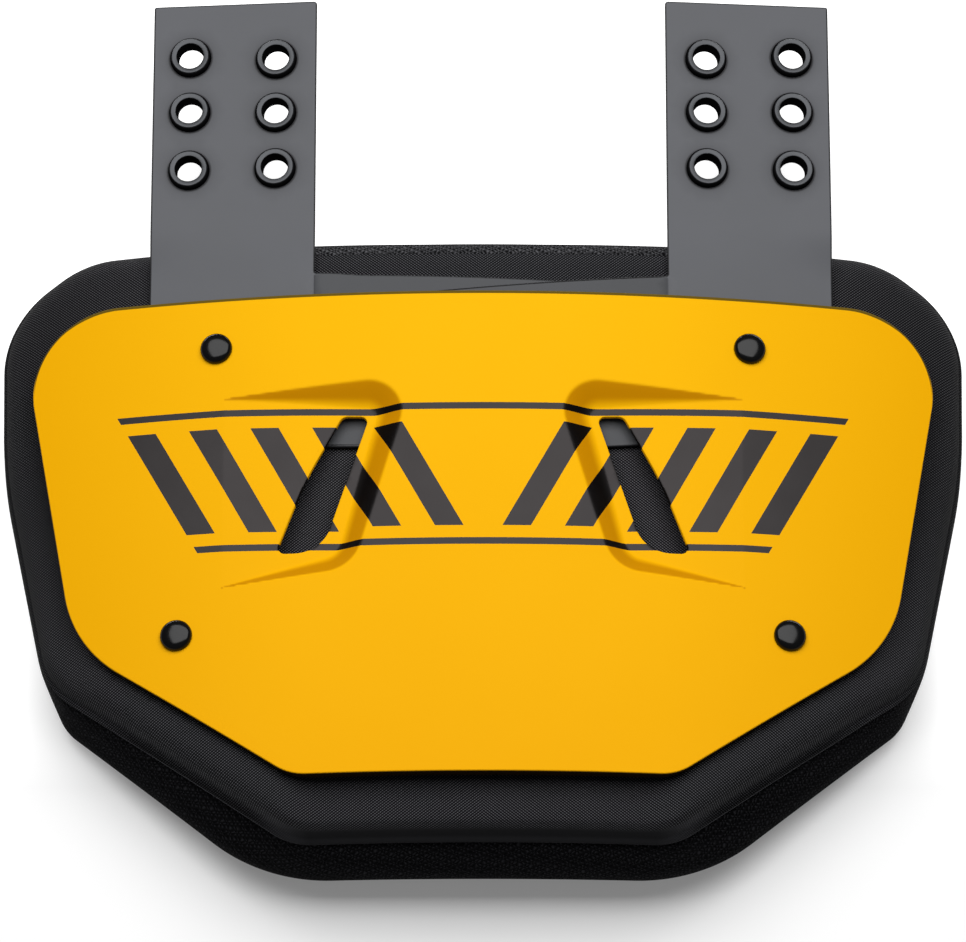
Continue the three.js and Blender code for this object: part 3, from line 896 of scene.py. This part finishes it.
def strap(name):
    side = SIDES[name]
    shell = Shell()
    loops = [rounded(strap_rows(side), 2.0)]
    middles = np.array([(tab_middle(side) + side["sign"] * out, y) for out, y in GROMMETS])
    for x, y in middles:
        points, normals = ring_circle(x, y, STRAP["hole"], 32)
        loops.append((points, -normals))
    # A fold runs down from the corner between tab and arm.
    inner = tab_inner(side)
    fold_y = np.arange(14, arm_top(side, inner) - 0.9, 0.5)
    fold = [np.column_stack((np.full(len(fold_y), inner + off), fold_y)) for off in (-0.35, 0, 0.35)]
    rings = [ring_circle(x, y, radius, 32)[0] for x, y in middles for radius in (7.45, 8.0, 9.6)]
    plan, triangles = fill([loop - 0.75 * out for loop, out in loops], 3, along=np.vstack((*fold, *rings)))
    folded = (np.abs(plan[:, 0] - inner) < 0.01) & (plan[:, 1] < fold_y[-1] + 0.1)
    # The strap is painted darker round the grommets, with a dark ring at their rims, as painted shadow.
    apart = np.linalg.norm(plan[:, None] - middles[None], axis=2).min(1)
    grommet_shadow = 0.2 * (1 - smooth(apart, 6.5, 12.5)) + 0.65 * (1 - smooth(apart, 7.4, 8.1))

    def marks(flat, edge):
        """The cloth coordinates, in metres: 1 on cut edges, partly in the fold and round the grommets as
        painted shadow, and 1 on the arm for its painted shade.
        """
        shaded_arm = side["sign"] * (inner - flat[:, 0]) > 0.2
        return 1000.0 * np.column_stack((edge * np.ones(len(flat)), shaded_arm))

    def lift(flat, drop):
        return np.column_stack((flat, strap_height(side, flat[:, 0], flat[:, 1]) - drop))

    front = shell.add(lift(plan, 0.3 * folded), marks(plan, np.maximum(side["fold"] * folded, grommet_shadow)))
    back = shell.add(lift(plan, STRAP["wall"]), marks(plan, 0))
    shell.cover(front, triangles)
    shell.cover(back, triangles[:, ::-1])
    start = 0
    for loop, out in loops:
        span = slice(start, start + len(loop))
        start += len(loop)
        last = front[span]
        # A painted shadow line runs along the upper arm's top edge, over the lower one.
        x, y = loop[:, 0], loop[:, 1]
        line = (np.abs(y - arm_top(side, x)) < 1) & (side["sign"] * (inner - x) > 2) & (not side["under"])
        for inset, drop, edge in [(0.66, 0, line)] + [(inset, drop, 1) for inset, drop in STRAP_EDGE]:
            flat = loop - inset * out
            ring = shell.add(lift(flat, drop), marks(flat, edge))
            shell.bridge(last, ring)
            last = ring
        shell.bridge(last, back[span])
    shell.piece(f"strap_{name}_sheet", f"strap_{name}", "strap", STRAP_FINISH, sharp=50)


def grommets(name):
    side = SIDES[name]
    sign = side["sign"]
    normal = Vector((sign * TAB_SLOPES["roll"], -TAB_SLOPES["rise"], 1)).normalized()
    turn = Vector((0, 0, 1)).rotation_difference(normal)
    for number, (out, y) in enumerate(GROMMETS, 1):
        x = tab_middle(side) + sign * out
        place = np.array((x, y, tab_height(side, x, y)))
        label = f"grommet_{name}_{number}"
        turned(GROMMET_PROFILE, 64, place, turn).piece(label + "_ring", label, "grommet", GROMMET_FINISH)


def rivet(row, name):
    x, y = RIVETS[row]
    plan = np.array([(SIDES[name]["sign"] * x, y)])
    place = on_plate(plan, 0)[0]
    normal = Vector(place - on_plate(plan, 10)[0]).normalized()
    turn = Vector((0, 0, 1)).rotation_difference(normal)
    head, shank, reach = RIVET["head"], RIVET["shank"], RIVET["reach"]
    rise = RIVET["dome"] - RIVET["skirt"]
    profile = [(0, RIVET["dome"])]
    for t in np.linspace(0, math.pi / 2, 19)[1:]:
        profile.append((head * math.sin(t) ** 0.62, RIVET["skirt"] + rise * math.cos(t) ** 0.8))
    profile += [(head, 0.25), (head - 0.2, 0.02), (shank, 0.02), (shank, 0.2 - reach), (0, -reach)]
    label = f"rivet_{row}_{name}"
    turned(profile, 48, place, turn).piece(label + "_head", label, "rivet", RIVET_FINISH)


# The pad.
def panel_drop(plan):
    """Soft hollows and swells in the padded front, a fraction of a millimetre deep."""
    x, y = plan[:, 0], plan[:, 1]
    return 0.18 * np.sin(x / 23 + 0.6) * np.sin(y / 19 + 1.1) + 0.1 * np.sin(x / 11 - y / 14)


def slanted_part(x, y):
    """1 beside the plate's two slanted lower edges, and 0 away from them."""
    across = smooth(np.abs(x), 52, 72) * (1 - smooth(np.abs(x), 126, 144))
    return across * (1 - smooth(y, -50, -30))


def bulge(plan):
    """The padding swells up round the plate's slanted lower edges."""
    loop, _ = rounded(mirrored(PLATE_HALF), 3)
    reach = distance(plan, loop) * np.where(inside(plan, loop), -1, 1)
    return PAD["swell"] * smooth(reach, -6, -0.5) * slanted_part(plan[:, 0], plan[:, 1])


def pad_front():
    shell = Shell()
    outline, out = rounded(mirrored(PAD_FRONT_HALF), 1.5)
    sections = [curve_through(rows, 4) for rows in (PANEL_LOWER, PANEL_SLANT, PANEL_UPPER)]
    aside = smooth(np.abs(outline[:, :1]), 58, 80)
    high = smooth(outline[:, 1:], -88, -62)
    low = 1 - smooth(outline[:, 1:], -94, -80)
    plan, triangles = fill([outline - PANEL["inset"] * out], 3.5)
    bent = np.column_stack((BEND * np.arcsin(plan[:, 0] / BEND), plan[:, 1]))
    calm = smooth(distance(plan, outline), PANEL["inset"], 24)
    front = shell.add(on_pad(plan, panel_drop(plan) * calm - bulge(plan)), bent)
    shell.cover(front, triangles)
    last = front[: len(outline)]
    start = bent[: len(outline)]
    run, before = 0, None
    for count, (lower, slant, upper) in enumerate(zip(*sections)):
        step = lower + (slant - lower) * aside
        step = step + (upper - step) * high
        if before is not None:
            run = run + np.linalg.norm(step - before, axis=1, keepdims=True)
            plan = outline - step[:, :1] * out
            drop = step[:, 1] - bulge(plan) * (1 - smooth(step[:, 1], 0.5, 6))
            # The hem is broad along the bottom edge, and a thin line under the seam on the slanted ones. The
            # seam, and the hem along the bottom, are darkened with painted shade.
            line = smooth(count, 23.5, 25) - smooth(count, 29, 30.5)
            hem = (1 - aside) * (count >= 12) + aside * line
            seam_shade = 0.55 * (1 - aside) * smooth(count, 10, 13) + 0.7 * aside * (smooth(count, 15, 20) - line)
            # Elsewhere the weave runs on to the edge, and is darkened there with painted shade.
            marks = np.hstack((hem * low, seam_shade * low + 0.5 * high * smooth(count, 5, 13)))
            ring = shell.add(on_pad(plan, drop), start + run * out, marks)
            shell.bridge(last, ring)
            last = ring
        before = step
    for inset, drop in PANEL_UNDER:
        ring = shell.add(on_pad(outline - inset * out, drop), start + run * out, (0, 0.7))
        shell.bridge(last, ring)
        last = ring
    plan, triangles = fill([outline - PANEL_UNDER[-1][0] * out], 8)
    under = shell.add(on_pad(plan, PANEL["wall"]))
    shell.cover(under, triangles)
    shell.bridge(last, under[: len(outline)])
    made = shell.piece("pad_front_panel", "pad_front", "front_fabric", FRONT_FINISH, sharp=60)


def bearing(points):
    """The direction of each point from the pad's middle, with the pad drawn in to be nearly round."""
    return np.arctan2(points[:, 1] + 20, points[:, 0] * 0.72)


def pad_body():
    shell = Shell()
    front, out = rounded(mirrored(PAD_FRONT_HALF), 1.5)
    # For each point of the front outline, the back outline's point in the same direction.
    rows, _ = rounded(mirrored(PAD_BACK_HALF), 0.5)
    rows = rows[np.argsort(bearing(rows))]
    turns = (bearing(front), bearing(rows))
    back = np.column_stack([np.interp(*turns, rows[:, k], period=2 * math.pi) for k in (0, 1)])
    steps = np.linalg.norm(np.roll(front, -1, 0) - front, axis=1)
    round_about = np.concatenate(([0], np.cumsum(steps)[:-1]))
    length = float(steps.sum())
    section = curve_through(WALL_SECTION, 4)
    last, run, before, first = None, 0.0, None, None
    for down, lean, swell in section:
        lean, down = min(lean, 1), min(max(down, 0), 1)
        plan = front + (back - front) * lean + swell * out
        top = height_at(plan[:, 0], FABRIC_DEPTH) - PAD["seam_drop"] - 0.3
        z = top + (back_height(plan[:, 0]) - top) * down
        points = np.column_stack((plan, z))
        if before is not None:
            run += float(np.linalg.norm(points - before, axis=1).mean())
        before = points
        ring = shell.add(points, np.column_stack((round_about, np.full(len(points), run))))
        if last is not None:
            shell.bridge(last, ring)
        else:
            first = ring
        last = ring
    plan, triangles = fill([before[:, :2]], 4)
    under = shell.add(np.column_stack((plan, back_height(plan[:, 0]))), plan)
    shell.cover(under, triangles)
    shell.bridge(last, under[: len(front)])
    last = first
    for inset, drop in BODY_UNDER_PANEL:
        ring = shell.add(on_pad(front - inset * out, drop))
        shell.bridge(ring, last)
        last = ring
    plan, triangles = fill([front - BODY_UNDER_PANEL[-1][0] * out], 8)
    lid = shell.add(on_pad(plan, PAD["lid"]))
    shell.cover(lid, triangles)
    shell.bridge(lid[: len(front)], last)
    made = shell.piece("pad_body_cover", "pad_body", "mesh_fabric", SHADED_MESH_FINISH, sharp=60, wrap=length)


def top_band():
    """Knitted mesh that laps over the panel's top edge between the straps."""
    shell = Shell()
    section = curve_through(PANEL_UPPER[:5], 12)
    slope = np.gradient(section, axis=0)
    slope /= np.linalg.norm(slope, axis=1)[:, None]
    keep = section[:, 0] < 6.0
    section, slope = section[keep], slope[keep]
    run = np.concatenate(([0], np.cumsum(np.linalg.norm(np.diff(section, axis=0), axis=1))))
    xs = np.arange(BAND_ENDS[0], BAND_ENDS[1] + 0.01, 0.25)
    corners = np.array(PAD_FRONT_HALF[:2])
    edge = np.interp(np.abs(xs), corners[:, 0], corners[:, 1])
    rows = []
    for (inset, drop), (inward, down), far in zip(section, slope, run):
        lumps = BAND_LUMP * knots(xs * BAND_FINE, far * BAND_FINE) * (1 - 0.8 * smooth(far, 3.7, 4.3))
        proud = 0.04 + (0.06 + lumps) * smooth(far, 0, 0.5)
        y = edge - inset + proud * down
        z = height_at(xs, FABRIC_DEPTH) - drop - proud * inward
        rows.append(shell.add(np.column_stack((xs, y, z)), np.column_stack((xs, np.full(len(xs), far)))))
    for inset, drop in (section[-1], section[0]):
        y = edge - inset - 0.6
        z = height_at(xs, FABRIC_DEPTH) - drop - 0.4
        rows.append(shell.add(np.column_stack((xs, y, z))))
    for a, b in zip(rows, rows[1:] + rows[:1]):
        shell.bridge(a, b, closed=False)
    for end in (0, -1):
        shell.faces.append(tuple(row[end] for row in rows))
    shell.piece("pad_top_band", None, "mesh_fabric", BAND_FINISH, sharp=70)


face_plate()
for name in SIDES:
    strap(name)
    grommets(name)
    for row in RIVETS:
        rivet(row, name)
pad_front()
pad_body()
top_band()


# Floor, light and camera.
def floor():
    tree = Tree("floor_white")
    tone = tree.noise(tree.place(), 1.5, 2.0)
    # The floor glows a little, more so beside and behind the part.
    x, y, _ = tree.split(tree.place())
    far = tree.math("POWER", tree.math("ADD", tree.math("MULTIPLY", x, x), tree.math("MULTIPLY", y, y)), 0.5)
    near = tree.math("SUBTRACT", 1.0, tree.ramp(far, 0.3, 0.8))
    glow = tree.math("MULTIPLY", tree.ramp(y, -0.115, -0.05), near)
    glow = tree.math("MULTIPLY_ADD", glow, 0.5, 0.16)
    tree.links.new(glow, tree.shader.inputs["Emission Strength"])
    material = tree.finish(
        colour=tree.mix(tone, (0.66, 0.66, 0.66), (0.68, 0.68, 0.68)),
        roughness=0.9,
        Specular_IOR_Level=0.1,
        Emission_Color=(1, 1, 1, 1),
    )
    mesh = bpy.data.meshes.new("floor")
    half, below = 12.0, 0.0003
    signs = ((-1, -1), (1, -1), (1, 1), (-1, 1))
    mesh.from_pydata([(half * a, half * b, -below) for a, b in signs], [], [(0, 1, 2, 3)])
    mesh.materials.append(material)
    obj = bpy.data.objects.new("floor", mesh)
    bpy.context.scene.collection.objects.link(obj)


def area(name, place, target, size, power):
    light = bpy.data.lights.new(name, "AREA")
    light.shape = "RECTANGLE"
    light.size, light.size_y = size
    light.energy = power
    obj = bpy.data.objects.new(name, light)
    obj.location = place
    obj.rotation_euler = (Vector(target) - Vector(place)).to_track_quat("-Z", "Y").to_euler()
    obj.visible_camera = False
    bpy.context.scene.collection.objects.link(obj)


floor()
area("softbox_top", (0.0, 0.33, 1.25), (0, 0, 0), (1.6, 1.1), 28.5)
area("floor_strip", (0.0, 0.55, 0.03), (0, 0, 0.03), (1.2, 0.05), 2.5)

world = bpy.data.worlds.new("studio")
bpy.context.scene.world = world
world.use_nodes = True
world.node_tree.nodes["Background"].inputs["Color"].default_value = (1, 1, 1, 1)
world.node_tree.nodes["Background"].inputs["Strength"].default_value = 0.16

# The camera stands as the photograph's does, with its focal length in pixels of the 966 wide frame.
TILT = math.radians(22)
TARGET = Vector((0.0, -0.019, 0.050))
AWAY = 2.2
FOCAL_PIXELS = 6480.5
FRAME_PIXELS = 966
SENSOR = 36
camera = bpy.data.cameras.new("camera")
camera.sensor_width = SENSOR
camera.lens = FOCAL_PIXELS / FRAME_PIXELS * SENSOR
holder = bpy.data.objects.new("camera", camera)
holder.location = TARGET - AWAY * Vector((0, math.sin(TILT), -math.cos(TILT)))
holder.rotation_euler = (TILT, 0, 0)
bpy.context.scene.collection.objects.link(holder)
bpy.context.scene.camera = holder
bpy.context.scene.view_settings.view_transform = "Standard"
